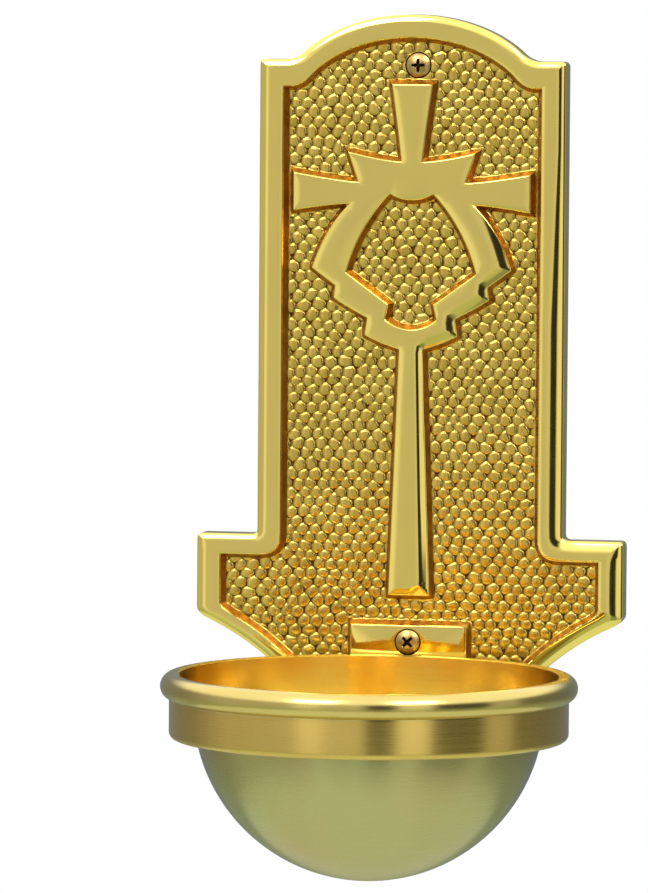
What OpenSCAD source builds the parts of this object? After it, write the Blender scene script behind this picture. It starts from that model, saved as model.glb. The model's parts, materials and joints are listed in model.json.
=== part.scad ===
// Wall-hung baptismal font: a cast brass wall plate with a hammered field and a raised
// cross and ring, carrying a turned brass bowl with a lift-out liner.
//
// Origin: the lower wall screw's axis, where it meets the wall.
// +X is to the right of someone facing the font, -Y is out from the wall, +Z is up.

/* [Wall plate] */
// Width of the plate's upright body
body_w = 106.6; // [96:0.2:130]
// Height of the shoulders above the origin
shoulder_z = 200; // [180:1:240]
// Height of the arch's crown above the shoulders
arch_rise = 15.7; // [12:0.1:20]
// Width across the two wings
wing_w = 149; // [136:1:178]
// Height of the wings' top edge above the origin
wing_top_z = 36; // [33:0.5:43]
// Depth of the wings' outer edge
wing_h = 25.5; // [22:0.5:31]
// Height of the foot's lower edge below the origin
foot_drop = 41; // [36:1:46]
// Width of the foot's lower edge
foot_w = 44; // [42:1:52]
// Depth of the plate from the wall to the rim's face
plate_t = 10; // [9:0.5:12]
// Radius of the outline's outer corners
corner_r = 2; // [1.5:0.1:3]
// Reach of the fillets between the body and the wings
wing_fillet = 2; // [1:0.5:4]
// Reach of the fillets between the shoulders and the arch
shoulder_fillet = 4; // [2:0.5:5]
// Width of the cut at the wings' lower corners
wing_cut = 3; // [2:0.5:5]
// Height of that cut
wing_cut_h = 3.6; // [2.4:0.1:6]
// Radius of the hollow sides of the foot
foot_cove_r = 102.8; // [80:0.2:160]

/* [Field and rim] */
// Width of the raised rim
rim_w = 8.3; // [7:0.1:10]
// Depth of the field below the rim's face
field_depth = 3.5; // [2.5:0.1:4.2]
// Thickness of the casting under the field
field_t = 2.7; // [2.2:0.1:4]
// Width of the band that bears on the wall
wall_band = 4; // [3:0.5:6]
// Radius of the bosses round the wall screws, on the back
boss_r = 6.5; // [5:0.5:8]

/* [Cross and ring] */
// Height of the cross, from the foot of its shaft to its head
cross_h = 175.6; // [160:0.2:178]
// Height of the foot of the shaft above the origin
cross_z = 16.2; // [14:0.2:24]

/* [Bowl] */
// Radius of the bowl's mouth
mouth_r = 63.6; // [53:0.2:77]
// Thickness of the collar's wall
collar_t = 3.4; // [2.8:0.1:4]
// Height of the collar under the rolled rim
collar_h = 13.2; // [12:0.1:16]
// Height of the rounded rim
bead_h = 8.7; // [7.3:0.1:10.5]
// How far the rounded rim stands out from the collar
bead_out = 3; // [2:0.1:4]
// Radius that breaks the collar's lower corner
collar_corner_r = 2.3; // [1:0.1:3]
// How far the dome steps in from the collar
dome_step = 8; // [7:0.5:10]
// Thickness of the dome's wall
dome_t = 3; // [2.5:0.1:3.5]
// Height of the dome's centre above its seat
dome_centre_up = 8.4; // [6:0.2:10]
// Height of the rounded rim's crown below the origin
bowl_drop = 3.9; // [3.5:0.1:8]
// Gap between the rounded rim and the plate's face
bowl_gap = 1.5; // [1:0.1:4]

/* [Liner] */
// Thickness of the liner's sheet
liner_t = 1; // [0.8:0.1:1.5]
// Clearance between the liner's flange and the collar
liner_gap = 0.4; // [0.3:0.1:1]
// Clearance between the liner and the dome
liner_dome_gap = 1; // [0.5:0.1:2]
// Radius of the rolled edge on the liner's flange
liner_roll_r = 1.2; // [1:0.1:1.6]

/* [Bowl fixing] */
// Width of the mounting pad
pad_w = 40; // [36:1:42]
// Height of the pad's top edge above the origin
pad_z = 5.7; // [5:0.1:7]
// Width of the saddle block
saddle_w = 30; // [26:1:36]
// Clearance above and below the saddle block, within the collar's height
saddle_gap = 0.9; // [0.6:0.1:1.5]
// Distance between the two bowl screws
bowl_screw_gap = 18; // [16:1:22]
// Radius of the bowl screws' shank
bowl_screw_r = 2; // [1.5:0.5:2.5]
// Radius of their heads
bowl_screw_head_r = 3.9; // [3.5:0.1:4.4]
// Height of their heads
bowl_screw_head_h = 2.4; // [2:0.1:2.5]
// How deep they thread into the collar's wall
bowl_screw_bite = 2.4; // [1.6:0.1:2.6]
// Clearance round and beyond their threads, in the collar's wall
bowl_screw_play = 0.1; // [0.05:0.05:0.2]
// Thickness of the washers
washer_t = 0.8; // [0.5:0.1:1]
// Radius of the washers
washer_r = 4.6; // [4.5:0.1:5]

/* [Wall screws] */
// Height of the upper screw above the lower one
screw_rise = 198.4; // [190:0.2:212]
// Sideways place of the upper screw
top_screw_x = 1.5; // [-4:0.5:4]
// Radius of the screws' shank, inside the plate
wall_screw_r = 2.1; // [1.8:0.1:2.4]
// Radius of their threaded length, in the wall
wall_thread_r = 1.9; // [1.6:0.1:2.3]
// Radius of their oval heads
wall_screw_head_r = 4.15; // [3.6:0.05:4.9]
// Half-angle of the cone under their heads
wall_screw_cone = 41; // [38:1:46]
// Height of the dome on their heads
wall_screw_dome = 1.2; // [0.8:0.1:1.6]
// How far they reach into the wall
wall_screw_reach = 24; // [18:1:40]
// Length of their point
wall_screw_point = 4; // [3:0.5:6]
// Clearance round every screw's shank
hole_gap = 0.25; // [0.1:0.05:0.5]

/* [Hidden] */
$fn = 96;

brass = [0.80, 0.68, 0.32];
satin_brass = [0.72, 0.66, 0.36];
steel = [0.72, 0.73, 0.74];

// How far a cut runs past the solid that it cuts
over = 1;

// The arch is the top of an ellipse: its width as a share of the body's, and its half-height
// as a multiple of the arch's rise
arch_span = 0.863;
arch_depth = 1.93;
// Share of the shoulder fillet's reach that lies along the arch
fillet_on_arch = 0.8;

// The rim is narrower at the wings and wider at the shoulders than at its sides. These are how
// far each line of the outline moves in when its sides move in by 1.
wing_top_in = 0.83;
wing_low_in = -0.24;
shoulder_in = 1.1;
rise_in = -0.16;
arch_a_in = 0.4;
arch_b_in = 0.1;

// The height that the outlines of the cross and its opening are drawn at
drawn_h = 175.6;

// Depths of the plate, measured out from the wall
field_y = plate_t - field_depth;
hollow_y = field_y - field_t;

// Bowl radii and heights
collar_r = mouth_r + collar_t;
bead_r = bead_h / 2;
bead_z = -bowl_drop - bead_r;
bead_x = collar_r + bead_out - bead_r;
collar_top = bead_z - bead_r;
collar_bottom = collar_top - collar_h;
dome_r = collar_r - dome_step;
seat_z = collar_bottom + dome_t;
dome_z = seat_z + dome_centre_up;
bowl_y = -(plate_t + bowl_gap + collar_r + bead_out);

// Bowl fixing
saddle_top = collar_top - saddle_gap;
saddle_bottom = collar_bottom + collar_corner_r + saddle_gap;
bowl_screw_z = (saddle_top + saddle_bottom) / 2;
collar_y = bowl_y + sqrt(pow(collar_r, 2) - pow(bowl_screw_gap / 2, 2));

// Wall screw heads: a cone sunk in the plate under an oval dome
head_cone_h = (wall_screw_head_r - wall_screw_r) / tan(wall_screw_cone);
dome_sphere_r = (pow(wall_screw_head_r, 2) + pow(wall_screw_dome, 2)) / (2 * wall_screw_dome);

// ---------- outlines ----------

function unit(v) = v / norm(v);

// A smooth bend from a to b that leaves and arrives along the lines through corner c
function bend(a, c, b, steps = 6, from = 0) =
    [for (i = [from:steps]) let (t = i / steps) a * pow(1 - t, 2) + c * 2 * t * (1 - t) + b * pow(t, 2)];

// An arc from a to b with its centre on the right of the way from a to b
function cove(a, b, r, steps = 14) =
    let (
        half = norm(b - a) / 2,
        along = unit(b - a),
        centre = (a + b) / 2 + [along.y, -along.x] * sqrt(r * r - half * half),
        from = atan2(a.y - centre.y, a.x - centre.x),
        sweep = 2 * asin(half / r)
    )
    [for (i = [0:steps]) centre + r * [cos(from - sweep * i / steps), sin(from - sweep * i / steps)]];

// The right half of an outline, joined to its mirror image
function both_sides(half) =
    concat(half, [for (i = [len(half) - 1:-1:0]) if (half[i].x > 0.001) [-half[i].x, half[i].y]]);

// A convex corner at c between a and b, rounded by r or left sharp
function corner(a, c, b, r) =
    r > 0 ? bend(c + unit(a - c) * r, c, c + unit(b - c) * r, 3) : [c];

// Height of the arch above its springing at x, for an ellipse of half-axes a and b and rise h
function arch_height(x, a, b, h) = h - b * (1 - sqrt(1 - pow(x / a, 2)));

// The right half of the plate's outline, taken in by d, from the foot up
function plate_half(d) =
    let (
        body = body_w / 2 - d,
        wing = wing_w / 2 - d,
        wing_top = wing_top_z - wing_top_in * d,
        wing_low = wing_top_z - wing_h - wing_low_in * d,
        shoulder = shoulder_z - shoulder_in * d,
        rise = arch_rise - rise_in * d,
        arch_a = arch_span * body_w / 2 - arch_a_in * d,
        arch_b = arch_depth * arch_rise - arch_b_in * d,
        springing = arch_a * sqrt(1 - pow(1 - rise / arch_b, 2)),
        on_arch = springing - fillet_on_arch * shoulder_fillet,
        arch_start = [on_arch, shoulder + arch_height(on_arch, arch_a, arch_b, rise)],
        foot = [foot_w / 2, d - foot_drop],
        cut_end = [wing - wing_cut, wing_low - wing_cut_h],
        r = d > 0 ? 0 : corner_r
    )
    concat(
        cove(foot, cut_end, foot_cove_r),
        d > 0 ? [[wing, wing_low - wing_cut_h / 3]]
              : bend(cut_end, [wing, wing_low - wing_cut_h / 2], [wing, wing_low], 3),
        corner([wing, 0], [wing, wing_top], [0, wing_top], r),
        bend([body + wing_fillet, wing_top], [body, wing_top], [body, wing_top + wing_fillet], 4),
        corner([body, 0], [body, shoulder], [0, shoulder], r),
        bend([springing + shoulder_fillet, shoulder], [springing, shoulder], arch_start, 4),
        [for (i = [1:16]) let (x = on_arch * (1 - i / 16))
            [x, shoulder + arch_height(x, arch_a, arch_b, rise)]]
    );

function plate_outline(d = 0) = both_sides(plate_half(d));

// The right half of the cross and ring, from the foot of the shaft up
cross_half = concat(
    [[7, 0]],
    bend([3.9, 84.8], [10.5, 86.6], [16, 89.5], 3),
    bend([15.1, 95.4], [23, 99.4], [26.9, 102.1], 3),
    [[26.4, 106.4]],
    bend([34.6, 112.4], [29.8, 126.6], [21.2, 134.6], 4),
    bend([21.2, 134.6], [28, 134.4], [41.2, 132.2], 3, from = 1),
    bend([41.2, 145], [26, 142.3], [18.5, 141.9], 4),
    bend([22.1, 152.2], [11, 149.4], [3.5, 149], 4),
    bend([3.5, 149], [4.8, 160.4], [7, drawn_h], 5, from = 1)
);

// The right half of the opening through the ring, from the bottom up
opening_half = concat(
    bend([0, 91.4], [5.4, 91.6], [9.1, 94.9], 4),
    [[7.9, 100]],
    bend([22.8, 110.8], [18.6, 126.6], [7.6, 138.2], 7),
    bend([7.6, 138.2], [4, 136], [0, 136], 2, from = 1)
);

// A drawn outline, brought to the cross's own height and place
function placed(p) = [for (q = p) [0, cross_z] + q * cross_h / drawn_h];

// ---------- solids ----------

// The slab that the plate is cut from
module plate_slab() {
    linear_extrude(plate_t) polygon(plate_outline());
}

// The sunk field, less the cross and ring and the mounting pad that stand in it
module field() {
    translate([0, 0, field_y])
    linear_extrude(field_depth + over)
    difference() {
        polygon(plate_outline(rim_w));
        difference() {
            polygon(placed(both_sides(cross_half)));
            polygon(placed(both_sides(opening_half)));
        }
        translate([-pad_w / 2, -foot_drop]) square([pad_w, foot_drop + pad_z]);
    }
}

// Places its children at each wall screw's axis, on the wall
module at_wall_screws() {
    children();
    translate([top_screw_x, screw_rise, 0]) children();
}

// Places its children at each bowl screw's axis
module at_bowl_screws() {
    for (side = [-1, 1]) translate([side * bowl_screw_gap / 2, bowl_screw_z, 0]) children();
}

// The hollow back, with a boss left standing round each wall screw
module hollow_back() {
    difference() {
        translate([0, 0, -over]) linear_extrude(hollow_y + over) polygon(plate_outline(wall_band));
        at_wall_screws() translate([0, 0, -2 * over]) cylinder(h = hollow_y + 3 * over, r = boss_r);
    }
}

// A hole for a wall screw whose head is sunk in a surface at height h
module screw_hole(h) {
    translate([0, 0, -over]) cylinder(h = h + over, r = wall_screw_r + hole_gap);
    translate([0, 0, h - head_cone_h])
        cylinder(h = head_cone_h, r1 = wall_screw_r, r2 = wall_screw_head_r);
    translate([0, 0, h]) cylinder(h = field_depth + over, r = wall_screw_head_r);
}

module wall_plate() {
    color(brass)
    rotate([90, 0, 0])
    difference() {
        plate_slab();
        field();
        hollow_back();
        screw_hole(plate_t);
        translate([top_screw_x, screw_rise, 0]) screw_hole(field_y);
        at_bowl_screws() translate([0, 0, -over]) cylinder(h = plate_t + 2 * over, r = bowl_screw_r + hole_gap);
    }
}

// The right half of a dome's section below height z, about the dome's centre
module dome_section(r, z) {
    intersection() {
        translate([0, dome_z]) circle(r);
        translate([0, dome_z - r]) square([r, z - dome_z + r]);
    }
}

module bowl_section() {
    difference() {
        union() {
            dome_section(dome_r, seat_z);
            translate([0, collar_bottom + collar_corner_r])
                square([collar_r, bead_z - collar_bottom - collar_corner_r]);
            translate([0, collar_bottom]) square([collar_r - collar_corner_r, collar_corner_r]);
            translate([collar_r - collar_corner_r, collar_bottom + collar_corner_r]) circle(collar_corner_r);
            translate([bead_x, bead_z]) circle(bead_r);
        }
        dome_section(dome_r - dome_t, seat_z + 0.01);
        translate([0, seat_z]) square([mouth_r, bead_z + bead_h - seat_z]);
    }
}

module bowl() {
    color(satin_brass)
    difference() {
        translate([0, bowl_y, 0]) rotate_extrude() bowl_section();
        rotate([90, 0, 0]) at_bowl_screws()
            cylinder(h = bowl_screw_bite - collar_y, r = bowl_screw_r + bowl_screw_play);
    }
}

module liner_section() {
    liner_dome_r = dome_r - dome_t - liner_dome_gap;
    flange_r = mouth_r - liner_gap;
    difference() {
        union() {
            dome_section(liner_dome_r, seat_z + liner_t);
            translate([0, seat_z]) square([flange_r - liner_roll_r, liner_t]);
            translate([flange_r - liner_roll_r, seat_z + liner_roll_r]) circle(liner_roll_r);
        }
        dome_section(liner_dome_r - liner_t, seat_z + liner_t + 0.01);
    }
}

module liner() {
    color(satin_brass)
    translate([0, bowl_y, 0]) rotate_extrude() liner_section();
}

module saddle_block() {
    color(brass)
    difference() {
        translate([-saddle_w / 2, bowl_y / 2 - plate_t, saddle_bottom])
            cube([saddle_w, -bowl_y / 2, saddle_top - saddle_bottom]);
        translate([0, bowl_y, saddle_bottom - over])
            cylinder(h = saddle_top - saddle_bottom + 2 * over, r = collar_r);
        rotate([90, 0, 0]) at_bowl_screws() cylinder(h = -bowl_y, r = bowl_screw_r + hole_gap);
    }
}

module bowl_screws() {
    head_y = hollow_y - washer_t - bowl_screw_head_h;
    color(steel)
    rotate([90, 0, 0]) at_bowl_screws() {
        translate([0, 0, head_y]) cylinder(h = bowl_screw_head_h, r = bowl_screw_head_r);
        translate([0, 0, head_y]) cylinder(h = bowl_screw_bite - bowl_screw_play - collar_y - head_y, r = bowl_screw_r);
    }
}

module bowl_washers() {
    color(steel)
    rotate([90, 0, 0]) at_bowl_screws()
    translate([0, 0, hollow_y - washer_t])
    difference() {
        cylinder(h = washer_t, r = washer_r);
        translate([0, 0, -over]) cylinder(h = washer_t + 2 * over, r = bowl_screw_r + hole_gap);
    }
}

// A wall screw whose head is sunk in a surface at height h
module wall_screw(h) {
    steps = 8;
    edge_angle = asin(wall_screw_head_r / dome_sphere_r);
    rotate_extrude()
    polygon(concat(
        [
            [0, -wall_screw_reach],
            [wall_thread_r, wall_screw_point - wall_screw_reach],
            [wall_thread_r, 0],
            [wall_screw_r, 0],
            [wall_screw_r, h - head_cone_h]
        ],
        [for (i = [steps:-1:0]) let (a = edge_angle * i / steps)
            [dome_sphere_r * sin(a), h + wall_screw_dome - dome_sphere_r * (1 - cos(a))]]
    ));
}

module wall_screws() {
    color(brass)
    rotate([90, 0, 0]) {
        wall_screw(plate_t);
        translate([top_screw_x, screw_rise, 0]) wall_screw(field_y);
    }
}

wall_plate();
bowl();
liner();
saddle_block();
bowl_screws();
bowl_washers();
wall_screws();
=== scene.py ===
"""Looks for a wall-hung brass baptismal font: a cast plate with a hammered field and a raised
cross and ring, a turned bowl with a lift-out liner, and the screws that hold them."""

import json
import math

import bmesh
import bpy
import numpy as np
from mathutils import Matrix, Vector
from mathutils.geometry import delaunay_2d_cdt

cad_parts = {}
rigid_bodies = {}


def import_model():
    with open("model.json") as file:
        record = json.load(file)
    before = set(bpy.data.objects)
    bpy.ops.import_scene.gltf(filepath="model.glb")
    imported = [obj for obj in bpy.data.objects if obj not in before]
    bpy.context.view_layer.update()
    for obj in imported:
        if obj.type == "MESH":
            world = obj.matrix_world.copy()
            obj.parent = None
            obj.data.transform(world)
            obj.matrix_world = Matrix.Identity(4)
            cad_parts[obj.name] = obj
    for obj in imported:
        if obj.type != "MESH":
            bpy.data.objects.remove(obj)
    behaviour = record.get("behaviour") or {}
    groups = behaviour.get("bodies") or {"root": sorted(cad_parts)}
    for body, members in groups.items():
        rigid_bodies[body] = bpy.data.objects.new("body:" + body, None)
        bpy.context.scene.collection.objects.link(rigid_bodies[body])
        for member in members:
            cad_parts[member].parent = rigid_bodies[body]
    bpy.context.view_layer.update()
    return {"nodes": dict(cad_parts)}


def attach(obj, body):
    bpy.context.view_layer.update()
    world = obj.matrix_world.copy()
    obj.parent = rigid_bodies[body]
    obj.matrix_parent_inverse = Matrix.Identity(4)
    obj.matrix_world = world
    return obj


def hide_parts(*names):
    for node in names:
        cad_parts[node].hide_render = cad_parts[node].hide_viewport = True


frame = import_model()

MM = 0.001

# ---------------------------------------------------------------- sizes, in millimetres

BODY_W, SHOULDER_Z, ARCH_RISE = 106.6, 200.0, 15.7
WING_W, WING_TOP_Z, WING_H = 149.0, 36.0, 25.5
FOOT_DROP, FOOT_W, FOOT_COVE = 41.0, 44.0, 102.8
WING_CUT, WING_CUT_H = 3.0, 3.6
CORNER_R, WING_FILLET, SHOULDER_FILLET = 2.0, 2.0, 4.0
ARCH_SPAN, ARCH_DEPTH, FILLET_ON_ARCH = 0.863, 1.93, 0.8
# how far each part of the outline moves in for each millimetre that the outline is taken in
WING_TOP_IN, WING_LOW_IN, SHOULDER_IN, RISE_IN, ARCH_A_IN, ARCH_B_IN = 0.83, -0.24, 1.1, -0.16, 0.4, 0.1
CORNER_IN, LEAST_CORNER, WING_FILLET_IN = 0.8, 0.15, -0.6
PLATE_T, FIELD_DEPTH, FIELD_T, RIM_W, WALL_BAND, BOSS_R = 10.0, 3.5, 2.7, 8.3, 4.0, 6.5
FIELD_H = PLATE_T - FIELD_DEPTH
HOLLOW_H = FIELD_H - FIELD_T
CROSS_Z = 16.2
PAD_W, PAD_Z, PAD_LOW_Z = 40.0, 5.7, -27.0
DRAFT = 1.6

# the polishing wheel rounds the rim and the cross, and the lower right of both the most
CROWN_W, CROWN_DROP, EDGE_W, EDGE_DROP = 3.3, 0.95, 0.8, 0.4
WORN_CROWN_W, WORN_CROWN_DROP, RIM_WEAR_Z, RIM_WEAR_RUN = 3.2, 0.65, 170, 60
CROSS_CROWN_W, CROSS_CROWN_DROP, CROSS_WEAR_Z, CROSS_WEAR_RUN = 3.2, 0.26, 152, 20

BOWL_Y = -81.5
MOUTH_R, COLLAR_R, COLLAR_TOP, COLLAR_BOTTOM, COLLAR_CORNER = 63.6, 67.0, -12.6, -25.8, 2.3
BEAD_X, BEAD_Z, BEAD_R = 65.65, -8.25, 4.35
DOME_R, DOME_T, DOME_Z, SEAT_Z = 59.0, 3.0, -14.4, -22.8
LINER_R, LINER_T, LINER_ROLL, LINER_ROLL_X = 55.0, 1.0, 1.2, 62.0

SCREW_HEAD_R, SCREW_DOME, SCREW_SHANK_R, SCREW_CORE_R, SCREW_THREAD_R = 4.15, 1.2, 2.1, 1.5, 1.88
SCREW_REACH, SCREW_POINT, SCREW_CONE_H = 24.0, 4.0, 2.36
SCREW_PLACES = [(0.0, 0.0, PLATE_T), (1.5, 198.4, FIELD_H)]
SCREW_HOLE_R, SCREW_MOUTH_R, BOSS_FOOT_R = 2.35, SCREW_HEAD_R + 0.45, BOSS_R + 0.4
BOWL_SCREW_X, BOWL_SCREW_Z, BOWL_SCREW_R, BOWL_SCREW_HEAD_R, BOWL_SCREW_HEAD_H = 9.0, -18.5, 2.0, 3.9, 2.4
BOWL_SCREW_PAN, BOWL_SCREW_END, BOWL_SCREW_BORE_R = 0.9, 17.4, BOWL_SCREW_R + 0.25
WASHER_R, WASHER_T, WASHER_BEVEL = 4.6, 0.8, 0.15

# ---------------------------------------------------------------- outlines of the plate

def bend(a, c, b, steps=6, start=0):
    """A smooth bend from a to b that leaves and arrives along the lines through corner c."""
    a, c, b = np.array(a, float), np.array(c, float), np.array(b, float)
    t = (np.arange(start, steps + 1) / steps)[:, None]
    return a * (1 - t) ** 2 + c * 2 * t * (1 - t) + b * t ** 2


def cove(a, b, r, steps=28):
    """A hollow arc of radius r from a to b."""
    a, b = np.array(a, float), np.array(b, float)
    half = np.linalg.norm(b - a) / 2
    along = (b - a) / (2 * half)
    centre = (a + b) / 2 + np.array([along[1], -along[0]]) * math.sqrt(r * r - half * half)
    start = math.atan2(a[1] - centre[1], a[0] - centre[0])
    sweep = 2 * math.asin(half / r)
    turn = start - sweep * np.arange(steps + 1) / steps
    return centre + r * np.stack([np.cos(turn), np.sin(turn)], 1)


def both_sides(half):
    """A closed outline from its right half."""
    mirrored = [(-x, z) for x, z in half[::-1] if x > 0.001]
    return np.array(list(map(tuple, half)) + mirrored)


def rounded_corner(a, c, b, r, steps=6):
    """Corner c between points a and b, rounded off from r before it to r after it."""
    a, c, b = np.array(a, float), np.array(c, float), np.array(b, float)
    start = c + (a - c) / np.linalg.norm(a - c) * r
    end = c + (b - c) / np.linalg.norm(b - c) * r
    return bend(start, c, end, steps)


def plate_half(d):
    """The right half of the plate's outline, taken in by d. Every d gives as many points."""
    body = BODY_W / 2 - d
    wing = WING_W / 2 - d
    wing_top = WING_TOP_Z - WING_TOP_IN * d
    wing_low = WING_TOP_Z - WING_H - WING_LOW_IN * d
    shoulder = SHOULDER_Z - SHOULDER_IN * d
    rise = ARCH_RISE - RISE_IN * d
    arch_a = ARCH_SPAN * BODY_W / 2 - ARCH_A_IN * d
    arch_b = ARCH_DEPTH * ARCH_RISE - ARCH_B_IN * d
    springing = arch_a * math.sqrt(1 - (1 - rise / arch_b) ** 2)
    on_arch = springing - FILLET_ON_ARCH * SHOULDER_FILLET

    def arch(x):
        return shoulder + rise - arch_b * (1 - math.sqrt(1 - (x / arch_a) ** 2))

    r = max(CORNER_R - CORNER_IN * d, LEAST_CORNER)
    hollow_r = WING_FILLET - WING_FILLET_IN * d
    cut_end = (wing - WING_CUT, wing_low - WING_CUT_H)
    return np.concatenate([
        cove((FOOT_W / 2, d - FOOT_DROP), cut_end, FOOT_COVE),
        bend(cut_end, (wing, wing_low - WING_CUT_H / 2), (wing, wing_low), 6, 1),
        rounded_corner((wing, 0), (wing, wing_top), (0, wing_top), r),
        bend((body + hollow_r, wing_top), (body, wing_top), (body, wing_top + hollow_r), 6),
        rounded_corner((body, 0), (body, shoulder), (0, shoulder), r),
        bend((springing + SHOULDER_FILLET, shoulder), (springing, shoulder), (on_arch, arch(on_arch)), 8),
        [(on_arch * (1 - i / 32), arch(on_arch * (1 - i / 32))) for i in range(1, 33)],
    ])


def plate_outline(d=0.0):
    return both_sides(plate_half(d))


def field_outline():
    """The field's edge at the rim's face, notched round the mounting pad."""
    half = plate_half(RIM_W)
    above = half[half[:, 1] > PAD_LOW_Z]
    return both_sides(np.concatenate([[(0, PAD_Z), (PAD_W / 2, PAD_Z), (PAD_W / 2, PAD_LOW_Z)], above]))


def cross_outline():
    """The cross and the outside of its ring, from the stem's foot to the top arm."""
    half = np.concatenate([
        [(7, 0)],
        bend((3.9, 84.8), (10.5, 86.6), (16, 89.5), 6),
        bend((15.1, 95.4), (23, 99.4), (26.9, 102.1), 6),
        [(26.4, 106.4)],
        bend((34.6, 112.4), (29.8, 126.6), (21.2, 134.6), 12),
        bend((21.2, 134.6), (28, 134.4), (41.2, 132.2), 6, 1),
        bend((41.2, 145), (26, 142.3), (18.5, 141.9), 6),
        bend((22.1, 152.2), (11, 149.4), (3.5, 149), 6),
        bend((3.5, 149), (4.8, 160.4), (7, 175.6), 8, 1),
    ])
    return both_sides(half + np.array([0, CROSS_Z]))


def opening_outline():
    """The ring's opening, from its lower lip to the notch at its top."""
    half = np.concatenate([
        bend((0, 91.4), (5.4, 91.6), (9.1, 94.9), 6),
        [(7.9, 100)],
        bend((22.8, 110.8), (18.6, 126.6), (7.6, 138.2), 14),
        bend((7.6, 138.2), (4, 136), (0, 136), 4, 1),
    ])
    return both_sides(half + np.array([0, CROSS_Z]))


def finely(loop, step):
    """The loop with points added so that no side is longer than step."""
    out = []
    for a, b in zip(loop, np.roll(loop, -1, 0)):
        n = max(1, math.ceil(np.linalg.norm(b - a) / step))
        out += [a + (b - a) * i / n for i in range(n)]
    return np.array(out)


def offset(loop, d):
    """Each side of a counter-clockwise loop moved in by d, with mitred corners."""
    u = loop - np.roll(loop, 1, 0)
    v = np.roll(loop, -1, 0) - loop
    u /= np.linalg.norm(u, axis=1)[:, None]
    v /= np.linalg.norm(v, axis=1)[:, None]
    m = np.stack([-u[:, 1] - v[:, 1], u[:, 0] + v[:, 0]], 1)
    return loop + m * (2 * d / np.maximum((m * m).sum(1), 0.8))[:, None]


def circle(x, z, r, n=48):
    t = np.arange(n) * 2 * math.pi / n
    return np.stack([x + r * np.cos(t), z + r * np.sin(t)], 1)


def inside(points, loop):
    """Whether each point lies inside the closed loop."""
    a, b = loop, np.roll(loop, -1, 0)
    found = np.zeros(len(points), bool)
    for (ax, az), (bx, bz) in zip(a, b):
        if az == bz:
            continue
        hit = (points[:, 1] > az) != (points[:, 1] > bz)
        found ^= hit & (points[:, 0] < ax + (points[:, 1] - az) * (bx - ax) / (bz - az))
    return found


def depth_in(points, loop):
    """Distance from each point to the loop, positive inside it."""
    best = np.full(len(points), 1e9)
    for a, b in zip(loop, np.roll(loop, -1, 0)):
        ab = b - a
        t = np.clip(((points - a) @ ab) / (ab @ ab), 0, 1)
        away = points - a - t[:, None] * ab
        best = np.minimum(best, (away * away).sum(1))
    return np.where(inside(points, loop), 1, -1) * np.sqrt(best)


def soft_min(a, b, k):
    """The lesser of two heights, with a fillet k wide where they meet."""
    h = np.maximum(k - np.abs(a - b), 0) / k
    return np.minimum(a, b) - h * h * k / 4


def soft_max(a, b, k):
    return -soft_min(-a, -b, k)


# ---------------------------------------------------------------- mesh helpers

class Shell:
    """Collects points and faces of one closed piece, in millimetres as (x, height out, z)."""

    def __init__(self):
        self.points, self.faces, self.kinds = [], [], []

    def add(self, points, faces, kind):
        base = len(self.points)
        self.points += [tuple(p) for p in points]
        self.faces += [tuple(base + i for i in f) for f in faces]
        self.kinds += [kind] * len(faces) if isinstance(kind, int) else list(kind)

    def strip(self, loop_a, h_a, loop_b, h_b, kind):
        """Joins two matching closed loops, each at its own height (a number or one for each point)."""
        n = len(loop_a)
        h_a = np.broadcast_to(h_a, n)
        h_b = np.broadcast_to(h_b, n)
        points = [(x, h, z) for (x, z), h in zip(loop_a, h_a)] + [(x, h, z) for (x, z), h in zip(loop_b, h_b)]
        self.add(points, [(i, (i + 1) % n, n + (i + 1) % n, n + i) for i in range(n)], kind)

    def sheet(self, loops, extra, height, keep, kind):
        """Triangulates loops and loose points, and keeps the triangles that keep() allows."""
        points, edges = [], []
        for loop in loops:
            base = len(points)
            points += [tuple(p) for p in loop]
            edges += [(base + i, base + (i + 1) % len(loop)) for i in range(len(loop))]
        points += [tuple(p) for p in extra]
        out, _, faces, *_ = delaunay_2d_cdt([Vector(p) for p in points], edges, [], 0, 1e-5)
        flat = np.array([(p.x, p.y) for p in out])
        faces = np.array([f for f in faces if len(f) == 3])
        centres = flat[faces].mean(1)
        faces = faces[keep(centres)]
        h = height(flat)
        kinds = kind(flat, faces)
        self.add(np.stack([flat[:, 0], h, flat[:, 1]], 1), faces, kinds)

    def mesh(self, name, materials, angle=32):
        mesh = bpy.data.meshes.new(name)
        scaled = [(x * MM, -h * MM, z * MM) for x, h, z in self.points]
        mesh.from_pydata(scaled, [], self.faces)
        for m in materials:
            mesh.materials.append(m)
        mesh.polygons.foreach_set("material_index", self.kinds)
        tidy(mesh)
        return smoothed(name, mesh, angle)


def standing_object(name, data):
    obj = bpy.data.objects.new(name, data)
    bpy.context.scene.collection.objects.link(obj)
    return obj


def smoothed(name, mesh, angle):
    """The mesh as an object, smooth but for edges that turn by more than angle."""
    mesh.polygons.foreach_set("use_smooth", [True] * len(mesh.polygons))
    mesh.set_sharp_from_angle(angle=math.radians(angle))
    return standing_object(name, mesh)


def tidy(mesh):
    """Joins a shell's strips and sheets into one closed skin that faces outwards."""
    work = bmesh.new()
    work.from_mesh(mesh)
    bmesh.ops.remove_doubles(work, verts=work.verts, dist=2e-6)
    loose = [v for v in work.verts if not v.link_faces]
    bmesh.ops.delete(work, geom=loose, context="VERTS")
    bmesh.ops.dissolve_degenerate(work, edges=work.edges, dist=1e-7)
    bmesh.ops.recalc_face_normals(work, faces=work.faces)
    work.to_mesh(mesh)
    work.free()


def arc(cx, cz, r, start, end, steps):
    """Points round a centre, from start to end in degrees."""
    t = np.radians(np.linspace(start, end, steps + 1))
    return [(cx + r * math.cos(a), cz + r * math.sin(a)) for a in t]


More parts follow.
